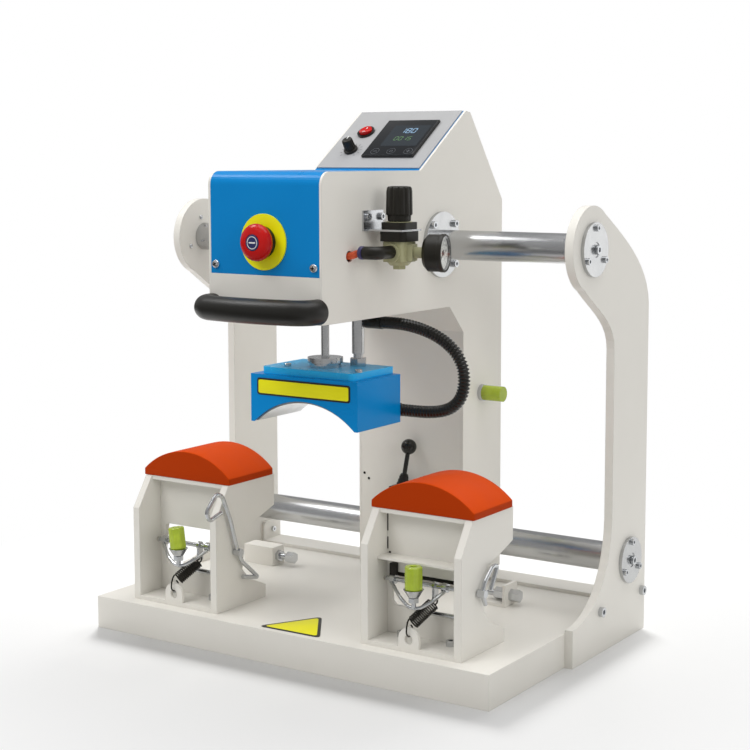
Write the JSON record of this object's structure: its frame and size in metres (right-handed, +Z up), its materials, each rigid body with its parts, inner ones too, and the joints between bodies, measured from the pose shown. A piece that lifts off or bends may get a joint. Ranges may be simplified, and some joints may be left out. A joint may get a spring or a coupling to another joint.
{
  "type": "double station cap heat press",
  "caption": "Pneumatic cap heat press: a head with a curved heated platen slides on two chrome shafts between two padded forms.",
  "frame": {"origin": "centre of the base tray's underside, on the surface that the press stands on", "axes": "+X to the right along the guide shafts, +Y from the handle towards the rear, +Z up"},
  "size_m": [0.576, 0.4255, 0.615],
  "materials": {
    "white_powder_coat": "satin",
    "blue_powder_coat": "satin",
    "hard_chrome": "polished",
    "turned_steel": "satin",
    "zinc_plate": "satin",
    "cast_aluminium": "satin",
    "heater_aluminium": "satin",
    "orange_silicone": "matte",
    "lime_polyurethane": "gloss",
    "black_rubber": "matte",
    "black_plastic": "satin",
    "black_gloss_plastic": "gloss",
    "black_steel": "satin",
    "panel_film": "satin",
    "yellow_plastic": "satin",
    "red_plastic": "gloss",
    "khaki_die_cast": "satin",
    "orange_tubing": "gloss"
  },
  "bodies": {
    "frame": {"base_tray": "white_powder_coat", "rear_tie_plate": "white_powder_coat", "left_end_plate": "white_powder_coat", "right_end_plate": "white_powder_coat", "upper_shaft": "hard_chrome", "lower_shaft": "hard_chrome", "shaft_end_discs": "turned_steel", "frame_screws": "zinc_plate", "stop_blocks": "white_powder_coat", "left_form_sides": "white_powder_coat", "right_form_sides": "white_powder_coat", "left_form_bridge": "white_powder_coat", "right_form_bridge": "white_powder_coat", "form_feet": "white_powder_coat", "form_cross_rods": "zinc_plate", "left_pad": "orange_silicone", "right_pad": "orange_silicone", "left_spring": "black_steel", "right_spring": "black_steel"},
    "head": {"head_side_left": "white_powder_coat", "head_side_right": "white_powder_coat", "front_cover": "blue_powder_coat", "rear_cover": "white_powder_coat", "column_front_cover": "white_powder_coat", "head_bottom_plate": "white_powder_coat", "shaft_bearings": "turned_steel", "travel_buffers": "lime_polyurethane", "head_fixings": "zinc_plate", "estop_ring": "yellow_plastic", "control_panel": "panel_film", "panel_bezels": "black_gloss_plastic", "handle": "black_rubber", "cylinder_body": "cast_aluminium", "conduit": "black_gloss_plastic", "conduit_gland": "black_plastic", "regulator_bracket": "zinc_plate", "regulator_body": "khaki_die_cast", "regulator_rings": "black_plastic", "gauge_case": "black_plastic", "air_elbow": "black_plastic", "air_tube": "orange_tubing", "valve_block": "black_plastic", "solenoid_valve": "cast_aluminium"},
    "platen": {"platen_rods": "hard_chrome", "platen_top_plate": "blue_powder_coat", "platen_cover": "blue_powder_coat", "heater_shoe": "heater_aluminium", "platen_gland": "black_plastic"},
    "emergency_stop": {"estop_button": "red_plastic"},
    "power_rocker": {"rocker": "red_plastic"},
    "dial": {"panel_knob": "black_plastic"},
    "pressure_knob": {"regulator_knob": "black_plastic"},
    "needle": {"gauge_needle": "black_steel"},
    "left_clamp": {"left_clamp_wire": "zinc_plate", "left_clamp_stirrup": "zinc_plate", "left_bumper": "lime_polyurethane"},
    "right_clamp": {"right_clamp_wire": "zinc_plate", "right_clamp_stirrup": "zinc_plate", "right_bumper": "lime_polyurethane"},
    "hand_valve": {"valve_lever": "black_gloss_plastic"}
  },
  "joints": [
    {"name": "head_slide", "type": "slide", "parent": "frame", "child": "head", "axis": [1, 0, 0], "range_m": [-0.1725, 0.1545]},
    {"name": "press_slide", "type": "slide", "parent": "head", "child": "platen", "axis": [0, 0, -1], "range_m": [0, 0.07], "deforming": ["conduit"]},
    {"name": "emergency_stop_push", "type": "slide", "parent": "head", "child": "emergency_stop", "axis": [0, 1, 0], "range_m": [0, 0.004], "stiffness_N_per_m": 2000},
    {"name": "rocker_tilt", "type": "hinge", "parent": "head", "child": "power_rocker", "pos_m": [-0.031, 0.04476, 0.58917], "axis": [1, 0, 0], "range_deg": [0, 14]},
    {"name": "dial_turn", "type": "hinge", "parent": "head", "child": "dial", "pos_m": [-0.032, 0.01531, 0.56672], "axis": [0, -0.5736, 0.8191], "range_deg": [-135, 135]},
    {"name": "pressure_turn", "type": "hinge", "parent": "head", "child": "pressure_knob", "pos_m": [0.1145, -0.1055, 0.51], "axis": [0, 0, -1], "range_deg": [0, 1080]},
    {"name": "needle_turn", "type": "hinge", "parent": "head", "child": "needle", "pos_m": [0.16484, -0.09248, 0.4585], "axis": [-0.9681, -0.2504, 0], "range_deg": [0, 270]},
    {"name": "left_clamp_swing", "type": "hinge", "parent": "frame", "child": "left_clamp", "pos_m": [-0.1635, -0.1275, 0.105], "axis": [1, 0, 0], "range_deg": [0, 25], "stiffness_Nm_per_rad": 1.5, "springref_deg": -14.32, "deforming": ["left_spring"]},
    {"name": "right_clamp_swing", "type": "hinge", "parent": "frame", "child": "right_clamp", "pos_m": [0.1635, -0.1275, 0.105], "axis": [1, 0, 0], "range_deg": [0, 25], "stiffness_Nm_per_rad": 1.5, "springref_deg": -14.32, "deforming": ["right_spring"]},
    {"name": "hand_valve_tilt", "type": "hinge", "parent": "head", "child": "hand_valve", "pos_m": [0.007, 0.0655, 0.161], "axis": [0, 1, 0], "range_deg": [-16, 0]}
  ],
  "couplings": [
    {"joint": "needle_turn", "follows": "pressure_turn", "ratio": 0.25}
  ]
}
